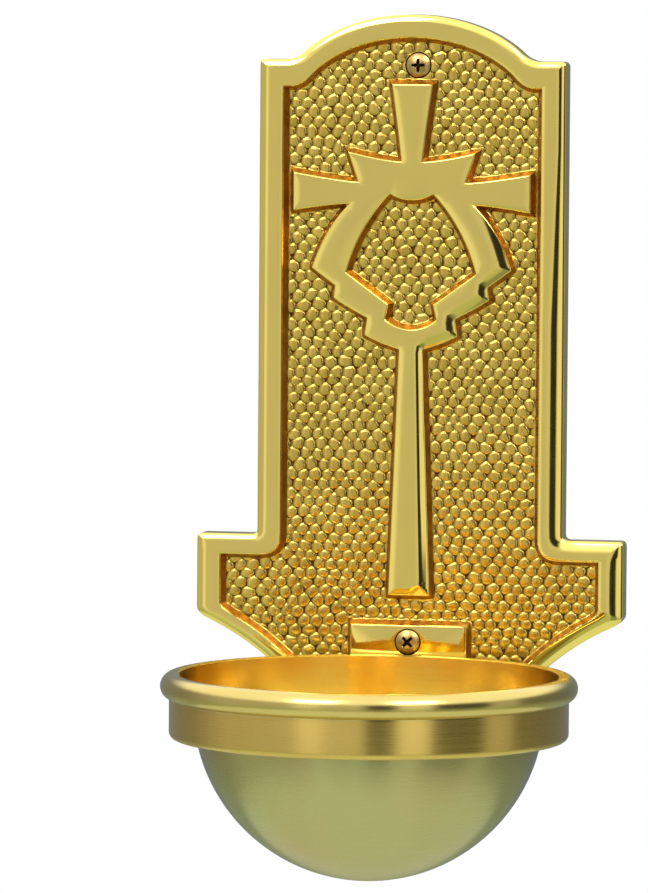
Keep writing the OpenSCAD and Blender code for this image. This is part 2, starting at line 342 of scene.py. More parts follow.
def turned(name, sections, materials, centre_y=0.0, around=192, angle=40):
    """A piece turned about an upright axis. sections is a list of (points, kind); each (radius, z)."""
    rows, kinds = [], []
    for points, kind in sections:
        for p in points:
            if rows and math.dist(rows[-1], p) < 1e-4:
                continue
            if rows:
                kinds.append(kind)
            rows.append(p)
    along = np.concatenate([[0], np.cumsum([math.dist(a, b) for a, b in zip(rows, rows[1:])])])
    verts, index = [], []
    for r, z in rows:
        if r < 1e-6:
            index.append([len(verts)] * around)
            verts.append((0, centre_y * MM, z * MM))
        else:
            index.append(list(range(len(verts), len(verts) + around)))
            for k in range(around):
                t = 2 * math.pi * k / around
                verts.append((r * math.sin(t) * MM, (centre_y - r * math.cos(t)) * MM, z * MM))
    faces, uvs, slots = [], [], []
    for j, kind in enumerate(kinds):
        for k in range(around):
            n = (k + 1) % around
            quad = [(index[j][k], k, j), (index[j][n], k + 1, j),
                    (index[j + 1][n], k + 1, j + 1), (index[j + 1][k], k, j + 1)]
            seen, face = set(), []
            for corner in quad:
                if corner[0] not in seen:
                    seen.add(corner[0])
                    face.append(corner)
            faces.append([c[0] for c in face])
            uvs += [(c[1] / around, along[c[2]] / 100) for c in face]
            slots.append(kind)
    mesh = bpy.data.meshes.new(name)
    mesh.from_pydata(verts, [], faces)
    layer = mesh.uv_layers.new(name="turning")
    layer.data.foreach_set("uv", [v for uv in uvs for v in uv])
    for m in materials:
        mesh.materials.append(m)
    mesh.polygons.foreach_set("material_index", slots)
    work = bmesh.new()
    work.from_mesh(mesh)
    bmesh.ops.recalc_face_normals(work, faces=work.faces)
    work.to_mesh(mesh)
    work.free()
    return smoothed(name, mesh, angle)


def baked(obj):
    """The object's shape after its modifiers, as a plain mesh."""
    bpy.context.view_layer.update()
    graph = bpy.context.evaluated_depsgraph_get()
    mesh = bpy.data.meshes.new_from_object(obj.evaluated_get(graph), depsgraph=graph)
    old = obj.data
    obj.modifiers.clear()
    obj.data = mesh
    bpy.data.meshes.remove(old)
    mesh.name = obj.name
    return obj


# ---------------------------------------------------------------- finishes

def feed(tree, socket, value):
    """Links a value that comes from another node to the socket, or sets a plain one."""
    if isinstance(value, bpy.types.NodeSocket):
        tree.links.new(value, socket)
    else:
        socket.default_value = value


class Finish:
    """Short hands for building one finish."""

    def __init__(self, name):
        self.material = bpy.data.materials.new(name)
        self.material.use_nodes = True
        self.tree = self.material.node_tree
        self.shader = self.tree.nodes["Principled BSDF"]

    def new(self, kind, inputs=None, **settings):
        node = self.tree.nodes.new(kind)
        for key, value in settings.items():
            setattr(node, key, value)
        for key, value in (inputs or {}).items():
            feed(self.tree, node.inputs[key], value)
        return node

    def coords(self, scale=(1, 1, 1), uv=False):
        source = self.new("ShaderNodeTexCoord")
        place = self.new("ShaderNodeMapping", {"Vector": source.outputs["UV" if uv else "Object"]})
        place.inputs["Scale"].default_value = scale
        return place.outputs["Vector"]

    def noise(self, vector, scale, detail=3.0, rough=0.5):
        sizes = {"Vector": vector, "Scale": scale, "Detail": detail, "Roughness": rough}
        return self.new("ShaderNodeTexNoise", sizes).outputs["Fac"]

    def ramp(self, value, low, high, to_low=0.0, to_high=1.0):
        ends = {"Value": value, "From Min": low, "From Max": high, "To Min": to_low, "To Max": to_high}
        return self.new("ShaderNodeMapRange", ends).outputs["Result"]

    def mix(self, factor, a, b):
        node = self.new("ShaderNodeMix", data_type="RGBA")
        for key, value in ((0, factor), (6, a), (7, b)):
            feed(self.tree, node.inputs[key], value)
        return node.outputs[2]

    def two_tone(self, vector, scale, detail, color, worn):
        """Clouds of a worn tint in the main one."""
        return self.mix(self.ramp(self.noise(vector, scale, detail), 0.35, 0.7), (*color, 1), (*worn, 1))

    def bump(self, height, strength, distance):
        sizes = {"Height": height, "Strength": strength, "Distance": distance}
        return self.new("ShaderNodeBump", sizes).outputs["Normal"]

    def to(self, **links):
        for key, value in links.items():
            feed(self.tree, self.shader.inputs[key.replace("_", " ")], value)
        return self.material


def metal(name, color, worn, rough, rough_spread=0.04, cloud=40.0, grain=900.0, grain_depth=0.00001,
          grain_strength=0.15):
    """Cast or polished metal: clouds of a second tint, a slightly uneven sheen and a fine grain."""
    n = Finish(name)
    at = n.coords()
    fine = n.noise(at, grain, 3.0, 0.6)
    tint = n.two_tone(at, cloud, 4.0, color, worn)
    sheen = n.ramp(n.noise(at, cloud * 2.3, 3.0), 0.3, 0.7, rough - rough_spread, rough + rough_spread)
    return n.to(Base_Color=tint, Metallic=1.0, Roughness=sheen, Normal=n.bump(fine, grain_strength, grain_depth))


def spun(name, color, worn, rough, line=1.0, aniso=0.5):
    """Turned metal: fine lines that run round the piece, and a sheen stretched across them."""
    n = Finish(name)
    at = n.coords((3.0, 900.0, 1.0), uv=True)
    lines = n.noise(at, 1.0, 4.0, 0.65)
    tint = n.two_tone(n.coords(), 25.0, 3.0, color, worn)
    sheen = n.ramp(lines, 0.3, 0.7, rough - 0.05, rough + 0.06)
    tangent = n.new("ShaderNodeTangent", direction_type="UV_MAP", uv_map="turning")
    return n.to(
        Base_Color=tint, Metallic=1.0, Roughness=sheen, Anisotropic=aniso, Anisotropic_Rotation=0.25,
        Tangent=tangent.outputs["Tangent"], Normal=n.bump(lines, 0.25 * line, 0.00002),
    )


def struck(name, color, worn, valley_shade):
    """Struck brass: its own tint on the pebbles' tops, and near-black painted shade darkening the valleys between
    them.
    """
    n = Finish(name)
    at = n.coords()
    lift = n.new("ShaderNodeAttribute", attribute_name="dome").outputs["Fac"]
    tops = n.two_tone(at, 120.0, 4.0, color, worn)
    ragged = n.ramp(n.noise(at, 500.0, 2.0), 0.0, 1.0, -0.09, 0.09)
    # the low parts of the domes, the valleys, take the painted shade; the tops keep the brass tint
    high = n.ramp(n.new("ShaderNodeMath", {0: lift, 1: ragged}).outputs[0], 0.26, 0.60)
    tint = n.mix(high, (*valley_shade, 1), tops)
    sheen = n.ramp(high, 0.0, 1.0, 0.42, 0.20)
    fine = n.bump(n.noise(at, 900.0, 3.0, 0.6), 0.25, 0.00002)
    return n.to(Base_Color=tint, Metallic=1.0, Roughness=sheen, Normal=fine)


# the last colour is the near-black painted shade for the valleys between the pebbles
hammered = struck("hammered_brass", (0.74, 0.52, 0.11), (0.61, 0.40, 0.07), (0.09, 0.035, 0.005))
polished = metal("polished_brass", (0.88, 0.69, 0.175), (0.84, 0.66, 0.18), 0.08, 0.02)
recess_wall = metal("recess_wall_brass", (0.52, 0.25, 0.04), (0.36, 0.16, 0.02), 0.38, 0.05, 120.0, 600.0,
                    0.00003, 0.4)
cast_back = metal("cast_brass_back", (0.55, 0.45, 0.20), (0.42, 0.34, 0.16), 0.50, 0.08, 60.0, 450.0, 0.00012, 0.8)
edge_brass = metal("plate_edge_brass", (0.85, 0.68, 0.20), (0.80, 0.64, 0.20), 0.16, 0.03)
collar_brass = spun("brushed_collar_brass", (0.70, 0.50, 0.13), (0.64, 0.44, 0.12), 0.26, 1.0, 0.8)
bead_brass = spun("rolled_rim_brass", (0.68, 0.54, 0.18), (0.62, 0.48, 0.16), 0.21, 0.4, 0.6)
# the dome's dull olive base colour, greener and darker than the collar's brass, is a painted reflection of the
# greenish floor below it
dome_brass = spun("satin_dome_brass", (0.47, 0.45, 0.20), (0.52, 0.41, 0.19), 0.27, 1.0, 0.8)
inner_brass = spun("bowl_inside_brass", (0.95, 0.70, 0.18), (0.90, 0.62, 0.14), 0.17, 0.7, 0.7)
liner_brass = spun("liner_brass", (0.85, 0.70, 0.28), (0.80, 0.66, 0.27), 0.22, 0.8, 0.7)
screw_brass = metal("screw_brass", (0.60, 0.40, 0.14), (0.46, 0.29, 0.10), 0.30, 0.05, 300.0)
# near-black painted shade for the screws' cross recesses and the gaps round the screw heads
shade_black_metal = metal("recess_painted_shade", (0.035, 0.022, 0.012), (0.06, 0.035, 0.015), 0.55, 0.05, 400.0)
zinc = metal("zinc_plated_steel", (0.60, 0.61, 0.62), (0.50, 0.51, 0.53), 0.32, 0.06, 200.0)
saddle_brass = metal("saddle_brass", (0.80, 0.66, 0.27), (0.74, 0.60, 0.25), 0.28, 0.05, 80.0)

# ---------------------------------------------------------------- geometry node helpers


class Pattern:
    """Short hands for building one geometry node tree."""

    def __init__(self, name):
        self.tree = bpy.data.node_groups.new(name, "GeometryNodeTree")
        self.tree.interface.new_socket("Geometry", in_out="INPUT", socket_type="NodeSocketGeometry")
        self.tree.interface.new_socket("Geometry", in_out="OUTPUT", socket_type="NodeSocketGeometry")
        self.inn = self.tree.nodes.new("NodeGroupInput")
        self.out = self.tree.nodes.new("NodeGroupOutput")
        self.ids = {}

    def size(self, name, value, kind="NodeSocketFloat"):
        socket = self.tree.interface.new_socket(name, in_out="INPUT", socket_type=kind)
        socket.default_value = value
        self.ids[name] = (socket.identifier, value)
        return self.inn.outputs[name]

    def new(self, kind, *inputs, out=0, **settings):
        node = self.tree.nodes.new(kind)
        for key, value in settings.items():
            setattr(node, key, value)
        for key, value in inputs:
            feed(self.tree, node.inputs[key], value)
        return node.outputs[out]

    def math(self, operation, a, b=0.0, c=0.0):
        return self.new("ShaderNodeMath", (0, a), (1, b), (2, c), operation=operation)

    def apply(self, obj, result, material, selection=None):
        realized = self.new("GeometryNodeRealizeInstances", (0, result))
        finish = self.tree.nodes.new("GeometryNodeSetMaterial")
        self.tree.links.new(realized, finish.inputs["Geometry"])
        finish.inputs["Material"].default_value = material
        if selection is not None:
            self.tree.links.new(selection, finish.inputs["Selection"])
        self.tree.links.new(finish.outputs["Geometry"], self.out.inputs[0])
        modifier = obj.modifiers.new(self.tree.name, "NODES")
        modifier.node_group = self.tree
        for identifier, value in self.ids.values():
            modifier[identifier] = value
        return baked(obj)


# ---------------------------------------------------------------- the wall plate

# the last slot, the gap round each screw head, takes the near-black painted shade
POLISHED, WALL, FIELD, BACK, EDGE, GAP_SHADE = range(6)
# where the pebbles fade in, beyond the foot of the walls and beyond the screw heads
WALL_FOOT, FADE, SMOOTH_R, SMOOTH_FADE = 1.5, 0.5, SCREW_HEAD_R + 0.3, 0.8


def plate_shell():
    """The casting before it is hammered, and standing(), which tells its raised metal from its field."""
    outline = plate_outline()
    field, cross, opening = field_outline(), cross_outline(), opening_outline()
    heads = [circle(x, z, SCREW_MOUTH_R) for x, z, _ in SCREW_PLACES]
    bores = [circle(s * BOWL_SCREW_X, BOWL_SCREW_Z, BOWL_SCREW_BORE_R, 32) for s in (-1, 1)]
    # rings of points where the shape bends: in from the rim's edge, over the cross, and down the walls
    crown_steps = (0.0, 0.03, 0.1, 0.22, 0.4, 0.6, 0.8, 1.2, 1.7, 2.3, 3.0, 3.7, 4.5, 5.4, 6.4)
    rings = [finely(plate_outline(d), 4.0) if d else outline for d in crown_steps]
    for s in (0.8, 1.6, 2.4, 3.2, 4.2):
        rings.append(offset(finely(cross, 1.2), s))
    profile = (0.28, 0.14, 0.0, -0.14, -0.28, -1.38, -1.6, -1.85)
    for s in profile:
        rings += [offset(finely(field, 1.2), -s), offset(finely(cross, 1.2), s), offset(finely(opening, 1.0), -s)]

    def standing(points):
        """How far inside the raised metal's edge each point lies: rim and pad, or cross and ring."""
        rim = -depth_in(points, field)
        ring = np.minimum(depth_in(points, cross), -depth_in(points, opening))
        return np.maximum(rim, ring)

    def front(points):
        s = standing(points)
        right = np.clip((points[:, 0] - 1) / 4, 0, 1)
        worn = np.clip((RIM_WEAR_Z - points[:, 1]) / RIM_WEAR_RUN, 0, 1) * right
        edge = np.maximum(depth_in(points, outline), 0)
        wide = CROWN_W + WORN_CROWN_W * worn
        crown = PLATE_T - (CROWN_DROP + WORN_CROWN_DROP * worn) * (1 - np.minimum(edge / wide, 1)) ** 2
        crown -= EDGE_DROP * (1 - np.sqrt(1 - (1 - np.minimum(edge / EDGE_W, 1)) ** 2))
        worn = np.clip((CROSS_WEAR_Z - points[:, 1]) / CROSS_WEAR_RUN, 0, 1) * right
        reach = CROSS_CROWN_W * (1 + 0.7 * worn)
        on_cross = np.clip(depth_in(points, cross), 0, reach)
        rounding = CROSS_CROWN_DROP * (0.8 + 3.2 * worn) * (1 - on_cross / reach) ** 2
        crown = crown - rounding * (s > -DRAFT) * inside(points, field)
        side = PLATE_T + s * FIELD_DEPTH / DRAFT
        return soft_max(soft_min(crown, side, 0.6), np.full(len(points), FIELD_H), 0.5)

    pitch = 0.52
    xs, zs = np.meshgrid(np.arange(-72, 72, pitch), np.arange(-36, 212, pitch * 0.87))
    xs[1::2] += pitch / 2
    grid = np.stack([xs.ravel(), zs.ravel()], 1)
    grid = grid[inside(grid, field)]
    grid = grid[standing(grid) < -2.0]
    for x, z, _ in SCREW_PLACES:
        grid = grid[np.hypot(grid[:, 0] - x, grid[:, 1] - z) > SCREW_HEAD_R + 0.4]

    shell = Shell()

    def kept(centres):
        good = inside(centres, outline)
        for hole in heads + bores:
            good &= ~inside(centres, hole)
        return good

    def kinds(flat, faces):
        s = standing(flat)[faces].mean(1)
        return np.where(s > -0.2, POLISHED, np.where(s > -1.62, WALL, FIELD)).tolist()

    shell.sheet(rings + heads + bores, grid, front, kept, kinds)

    # the outer wall, the band that bears on the wall and the hollow back
    inner = plate_outline(WALL_BAND)
    shell.strip(outline, front(outline), outline, 0.6, EDGE)
    soft = offset(outline, 0.3)
    shell.strip(outline, 0.6, outline, 0.3, EDGE)
    shell.strip(outline, 0.3, soft, 0.0, BACK)
    shell.strip(soft, 0.0, inner, 0.0, BACK)
    deep = plate_outline(WALL_BAND + 0.6)
    shell.strip(inner, 0.0, deep, HOLLOW_H, BACK)
    bosses = [circle(x, z, BOSS_FOOT_R) for x, z, _ in SCREW_PLACES]

    def hollow(centres):
        good = inside(centres, deep)
        for hole in bosses + bores:
            good &= ~inside(centres, hole)
        return good

    shell.sheet([deep] + bosses + bores, [], lambda p: np.full(len(p), HOLLOW_H), hollow,
                lambda flat, faces: [BACK] * len(faces))
    for x, z, h in SCREW_PLACES:
        foot, face = circle(x, z, BOSS_FOOT_R), circle(x, z, BOSS_R)
        bore, mouth = circle(x, z, SCREW_HOLE_R), circle(x, z, SCREW_MOUTH_R)
        shell.strip(foot, HOLLOW_H, face, 0.0, BACK)
        shell.strip(face, 0.0, bore, 0.0, BACK)
        shell.strip(bore, 0.0, bore, h - SCREW_CONE_H, BACK)
        # the gap round each head is painted near-black, as shade
        shell.strip(bore, h - SCREW_CONE_H, mouth, h - 0.9, GAP_SHADE)
        shell.strip(mouth, h - 0.9, mouth, front(mouth), GAP_SHADE)
    for bore in bores:
        shell.strip(bore, HOLLOW_H, bore, PLATE_T, BACK)
    return shell, standing


def hammer(plate, standing):
    """The struck pebbles of the field: staggered rows of domes that meet in valleys."""
    mesh = plate.data
    co = np.zeros(len(mesh.vertices) * 3)
    mesh.vertices.foreach_get("co", co)
    co = co.reshape(-1, 3) / MM
    s = standing(co[:, [0, 2]])
    front = co[:, 1] < -HOLLOW_H - 0.5
    strength = np.clip((-WALL_FOOT - s) / FADE, 0, 1) * front
    for x, z, _ in SCREW_PLACES:
        strength *= np.clip((np.hypot(co[:, 0] - x, co[:, 2] - z) - SMOOTH_R) / SMOOTH_FADE, 0, 1)
    mesh.attributes.new("hammered", "FLOAT", "POINT").data.foreach_set("value", strength)
    slot = np.zeros(len(mesh.polygons), int)
    mesh.polygons.foreach_get("material_index", slot)
    mesh.attributes.new("in_field", "BOOLEAN", "FACE").data.foreach_set("value", slot == FIELD)

    g = Pattern("hammered_field")
    across = g.size("Pebble width", 4.4 * MM)
    row = g.size("Row height", 3.2 * MM)
    stray = g.size("Stray", 0.7 * MM)
    depth = g.size("Depth", 0.6 * MM)
    wander = g.size("Wander", 2.2 * MM)
    uneven = g.size("Uneven", 0.65 * MM)
    reach = g.size("Dome reach", 2.7 * MM)
    shoulder = g.size("Shoulder", 1.15 * MM)
    lean = g.size("Lean", 0.8 * MM)
    seed = g.size("Seed", 7, "NodeSocketInt")
    columns, rows = 16, 84
    wide = g.math("MULTIPLY", across, 3.0)
    place = g.tree.nodes.new("ShaderNodeSeparateXYZ")
    g.tree.links.new(g.new("GeometryNodeInputPosition"), place.inputs[0])
    flat = g.new("ShaderNodeCombineXYZ", (0, place.outputs[0]), (1, 0.0), (2, place.outputs[2]))
    for amount, scale in ((wander, 30.0), (uneven, 210.0)):
        cloud = g.new("ShaderNodeTexNoise", ("Vector", flat), ("Scale", scale), ("Detail", 1.0), out=1)
        centred = g.new("ShaderNodeVectorMath", (0, cloud), (1, (0.5, 0.5, 0.5)), operation="SUBTRACT")
        step = g.new("ShaderNodeVectorMath", (0, centred), ("Scale", g.math("MULTIPLY", amount, 2.0)),
                     operation="SCALE")
        level = g.new("ShaderNodeVectorMath", (0, step), (1, (1.0, 0.0, 1.0)), operation="MULTIPLY")
        flat = g.new("ShaderNodeVectorMath", (0, flat), (1, level), operation="ADD")
    away, away_low = [], []
    down = g.new("ShaderNodeCombineXYZ", (2, g.math("MULTIPLY", lean, -1.0)))
    below = g.new("ShaderNodeVectorMath", (0, flat), (1, down), operation="ADD")
    # every third pebble of a row belongs to one set, so a point's two nearest pebbles are in two sets
    for part in range(3):
        lattice = g.new("GeometryNodeMeshGrid", ("Size X", g.math("MULTIPLY", wide, columns - 1.0)),
                        ("Size Y", g.math("MULTIPLY", row, rows - 1.0)),
                        ("Vertices X", columns), ("Vertices Y", rows))
        split = g.tree.nodes.new("ShaderNodeSeparateXYZ")
        g.tree.links.new(g.new("GeometryNodeInputPosition"), split.inputs[0])
        up = g.math("ADD", split.outputs[1], g.math("MULTIPLY", row, (rows - 1) / 2))
        odd = g.math("MULTIPLY", g.math("MODULO", g.math("ROUND", g.math("DIVIDE", up, row)), 2.0), 0.5)
        shift = g.math("ADD", g.math("MULTIPLY", odd, wide), g.math("MULTIPLY", across, float(part)))
        strays = [g.new("FunctionNodeRandomValue", (2, g.math("MULTIPLY", stray, -1.0)), (3, stray),
                        ("Seed", g.math("ADD", seed, 3.0 * part + k)), out=1) for k in (0, 1)]
        struck_x = g.math("ADD", g.math("ADD", split.outputs[0], shift), strays[0])
        struck_z = g.math("ADD", g.math("ADD", split.outputs[1], 88 * MM), strays[1])
        struck_at = g.new("ShaderNodeCombineXYZ", (0, struck_x), (1, 0.0), (2, struck_z))
        points = g.new("GeometryNodeSetPosition", ("Geometry", lattice), ("Position", struck_at))
        for found, spot in ((away, flat), (away_low, below)):
            found.append(g.new("GeometryNodeProximity", (0, points), ("Sample Position", spot), out=1,
                               target_element="POINTS"))
    near, near_low = [g.math("MINIMUM", g.math("MINIMUM", a[0], a[1]), a[2]) for a in (away, away_low)]
    far = g.math("MAXIMUM", g.math("MAXIMUM", away[0], away[1]), away[2])
    total = g.math("ADD", g.math("ADD", away[0], away[1]), away[2])
    second = g.math("SUBTRACT", total, g.math("ADD", near, far))
    border = g.math("SUBTRACT", second, near)
    flank = g.new("ShaderNodeMapRange", ("Value", border), ("From Min", 0.0), ("From Max", shoulder),
                  interpolation_type="SMOOTHERSTEP")
    ratio = g.math("DIVIDE", near_low, reach)
    round_top = g.math("SUBTRACT", 1.0, g.math("MULTIPLY", ratio, ratio))
    dome = g.math("ADD", g.math("MULTIPLY", flank, 0.55), g.math("MULTIPLY", round_top, 0.45))
    mask = g.new("GeometryNodeInputNamedAttribute", ("Name", "hammered"), data_type="FLOAT")
    height = g.math("MULTIPLY", g.math("MULTIPLY", g.math("SUBTRACT", dome, 0.7), depth), mask)
    out = g.new("ShaderNodeCombineXYZ", (0, 0.0), (1, g.math("MULTIPLY", height, -1.0)), (2, 0.0))
    moved = g.new("GeometryNodeSetPosition", ("Geometry", g.inn.outputs[0]), ("Offset", out))
    # the dome height is kept for the finish, which paints shade into the valleys
    kept = g.tree.nodes.new("GeometryNodeStoreNamedAttribute")
    kept.data_type, kept.domain = "FLOAT", "POINT"
    kept.inputs["Name"].default_value = "dome"
    g.tree.links.new(moved, kept.inputs["Geometry"])
    g.tree.links.new(dome, kept.inputs["Value"])
    moved = kept.outputs["Geometry"]
    chosen = g.new("GeometryNodeInputNamedAttribute", ("Name", "in_field"), data_type="BOOLEAN")
    return g.apply(plate, moved, hammered, chosen)


shell, standing = plate_shell()
plate = shell.mesh("cast_plate", [polished, recess_wall, hammered, cast_back, edge_brass, shade_black_metal], 38)
plate = hammer(plate, standing)
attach(plate, "root")
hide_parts("wall_plate")

# ---------------------------------------------------------------- the bowl and its liner

OUT_DOME, COLLAR, BEAD, INSIDE = range(4)


def dome_meets(r, z):
    """How far out a dome of radius r is at height z."""
    return math.sqrt(r * r - (z - DOME_Z) ** 2)


def bowl_sections():
    """The bowl's profile in turning order: up the outside, over the rim and down the inside."""
    foot = dome_meets(DOME_R, COLLAR_BOTTOM)
    low_turn = -math.degrees(math.acos(foot / DOME_R))
    inner = DOME_R - DOME_T
    seat = dome_meets(inner, SEAT_Z)
    seat_turn = -math.degrees(math.acos(seat / inner))
    under = math.degrees(math.asin((COLLAR_R - BEAD_X) / BEAD_R))
    over = math.degrees(math.asin((BEAD_X - MOUTH_R) / BEAD_R))
    dome = arc(0, DOME_Z, DOME_R, -90, low_turn, 56)
    dome[0] = (0.0, DOME_Z - DOME_R)
    bowl_floor = arc(0, DOME_Z, inner, seat_turn, -90, 40)
    bowl_floor[-1] = (0.0, DOME_Z - inner)
    corner = COLLAR_CORNER
    collar = [(foot + 0.3, COLLAR_BOTTOM), (COLLAR_R - corner - 0.2, COLLAR_BOTTOM)]
    collar += arc(COLLAR_R - corner, COLLAR_BOTTOM + corner, corner, -90, 0, 8)
    collar += [(COLLAR_R, COLLAR_TOP - 4), (COLLAR_R, COLLAR_TOP - 0.2)]
    bead = arc(BEAD_X, BEAD_Z, BEAD_R, -90 + under, 90 + over, 30)
    wall = [(MOUTH_R, -6), (MOUTH_R, -12), (MOUTH_R, SEAT_Z + 0.6), (MOUTH_R - 0.6, SEAT_Z), (seat + 0.3, SEAT_Z)]
    return [(dome, OUT_DOME), (collar, COLLAR), (bead, BEAD), (wall, INSIDE), (bowl_floor, INSIDE)]


bowl = turned("turned_bowl", bowl_sections(), [dome_brass, collar_brass, bead_brass, inner_brass], BOWL_Y)
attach(bowl, "root")
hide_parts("bowl")


def liner_sections():
    """The liner's profile: up its inside, over the rolled flange and down its underside."""
    inner = LINER_R - LINER_T
    top = SEAT_Z + LINER_T
    lip = dome_meets(inner, top)
    low = dome_meets(LINER_R, SEAT_Z)
    basin = arc(0, DOME_Z, inner, -90, -math.degrees(math.acos(lip / inner)), 48)
    basin[0] = (0.0, DOME_Z - inner)
    roll_z = SEAT_Z + LINER_ROLL
    start = 180 + math.degrees(math.asin((roll_z - top) / LINER_ROLL))
    flange = [(lip + 0.3, top), (LINER_ROLL_X - 1.3, top)]
    roll = arc(LINER_ROLL_X, roll_z, LINER_ROLL, start, -90, 20)
    under = [(low + 0.3, SEAT_Z)] + arc(0, DOME_Z, LINER_R, -math.degrees(math.acos(low / LINER_R)), -90, 40)
    under[-1] = (0.0, DOME_Z - LINER_R)
    return [(basin, 0), (flange, 0), (roll, 0), (under, 0)]


liner = turned("spun_liner", liner_sections(), [liner_brass], BOWL_Y)
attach(liner, "liner")
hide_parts("liner")

# ---------------------------------------------------------------- screws and washers

# the second slot is the near-black painted shade down in the cross recesses
BRIGHT, RECESS_SHADE = range(2)


def recess_depth(points, turn, arm, half_width, depth):
    """How deep a cross recess is at each point: four arms that narrow and grow shallow outwards."""
    c, s = math.cos(turn), math.sin(turn)
    x = np.abs(points[:, 0] * c + points[:, 1] * s)
    z = np.abs(-points[:, 0] * s + points[:, 1] * c)
    along, aside = np.maximum(x, z), np.minimum(x, z)
    width = half_width * (1.25 - 0.35 * along / arm)
    inside_by = soft_min(width - aside, (arm - along) * 0.9, 0.1)
    return np.clip(inside_by * 4.5, 0, depth)


def screw_face(shell, x, z, rim, height, recess, pitch):
    """The face of a cross-recess head: brass or zinc, with near-black painted shade down in the recess."""
    centre = np.array([x, z])
    steps = np.arange(-4, 4, pitch)
    xs, zs = np.meshgrid(steps, steps)
    grid = np.stack([xs.ravel(), zs.ravel()], 1) + 0.01
    grid = grid[np.hypot(*grid.T) < rim - 0.12] + centre
    shell.sheet([circle(x, z, rim, 64)], grid, height, lambda c: np.hypot(*(c - centre).T) < rim,
                lambda flat, faces: np.where(recess(flat)[faces].mean(1) > 0.45, RECESS_SHADE, BRIGHT).tolist())


def turned_walls(shell, x, z, steps):
    """Walls through circles of the given radii and heights."""
    for (ra, ha), (rb, hb) in zip(steps, steps[1:]):
        shell.strip(circle(x, z, ra, 64), ha, circle(x, z, rb, 64), hb, BRIGHT)


def shank(shell, x, z, steps):
    """Turned walls with a flat end on the last circle."""
    turned_walls(shell, x, z, steps)
    r, h = steps[-1]
    shell.add([(px, h, pz) for px, pz in circle(x, z, r, 64)], [tuple(range(64))], BRIGHT)


def wall_screw(shell, x, z, h, turn):
    """An oval-head wood screw: its head on the plate, its cone, shank and point."""
    rim, top = SCREW_HEAD_R, h + SCREW_DOME
    sphere = (rim ** 2 + SCREW_DOME ** 2) / (2 * SCREW_DOME)
    centre = np.array([x, z])

    def recess(points):
        return recess_depth(points - centre, turn, 2.3, 0.5, 1.7)

    def front(points):
        r = np.hypot(*(points - centre).T)
        dome = top - (sphere - np.sqrt(sphere ** 2 - np.minimum(r, rim) ** 2))
        return dome - recess(points)

    screw_face(shell, x, z, rim, front, recess, 0.14)
    shank(shell, x, z, [
        (rim, h), (rim - 0.05, h - 0.2), (SCREW_SHANK_R, h - SCREW_CONE_H + 0.1), (SCREW_SHANK_R, 0.0),
        (SCREW_CORE_R, -0.7), (SCREW_CORE_R, SCREW_POINT - SCREW_REACH), (0.06, 0.1 - SCREW_REACH),
    ])


def thread(screws):
    """Helical threads in the wall: a pointed section swept along a helix, then round the point."""
    mesh = screws.data
    slot = np.zeros(len(mesh.polygons), int)
    mesh.polygons.foreach_get("material_index", slot)
    mesh.attributes.new("recess", "BOOLEAN", "FACE").data.foreach_set("value", slot == RECESS_SHADE)
    g = Pattern("wood_screw_threads")
    turns = g.size("Turns", 13.0)
    radius = g.size("Crest radius", (SCREW_THREAD_R - 0.2) * MM)
    section = g.size("Section", 0.2 * MM)
    length = g.size("Length", (SCREW_REACH - SCREW_POINT - 0.6) * MM)
    profile = g.new("GeometryNodeCurvePrimitiveCircle", ("Resolution", 3), ("Radius", section))
    body = g.new("GeometryNodeCurveSpiral", ("Resolution", 24), ("Rotations", turns),
                 ("Start Radius", radius), ("End Radius", radius), ("Height", length))
    tip = g.new("GeometryNodeCurveSpiral", ("Resolution", 24), ("Rotations", 2.5),
                ("Start Radius", radius), ("End Radius", 0.35 * MM), ("Height", (SCREW_POINT - 0.7) * MM))
    start = g.new("ShaderNodeCombineXYZ", (2, length))
    tip = g.new("GeometryNodeTransform", ("Geometry", tip), ("Translation", start))
    both = g.tree.nodes.new("GeometryNodeJoinGeometry")
    g.tree.links.new(tip, both.inputs[0])
    g.tree.links.new(body, both.inputs[0])
    swept = g.new("GeometryNodeCurveToMesh", ("Curve", both.outputs[0]), ("Profile Curve", profile),
                  ("Fill Caps", True))
    copies = g.tree.nodes.new("GeometryNodeJoinGeometry")
    for x, z, _ in SCREW_PLACES:
        copy = g.new("GeometryNodeTransform", ("Geometry", swept), ("Translation", (x * MM, 0.3 * MM, z * MM)),
                     ("Rotation", (-math.pi / 2, 0, 0)))
        g.tree.links.new(copy, copies.inputs[0])
    g.tree.links.new(g.inn.outputs[0], copies.inputs[0])
    # the recess faces keep their near-black painted shade; everything else becomes screw brass
    in_recess = g.new("GeometryNodeInputNamedAttribute", ("Name", "recess"), data_type="BOOLEAN")
    return g.apply(screws, copies.outputs[0], screw_brass, g.math("SUBTRACT", 1.0, in_recess))


screws = Shell()
for place, turn in zip(SCREW_PLACES, (math.radians(45), 0.0)):
    wall_screw(screws, *place, turn)
screws = thread(screws.mesh("wood_screws", [screw_brass, shade_black_metal], 35))
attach(screws, "root")
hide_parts("wall_screws")


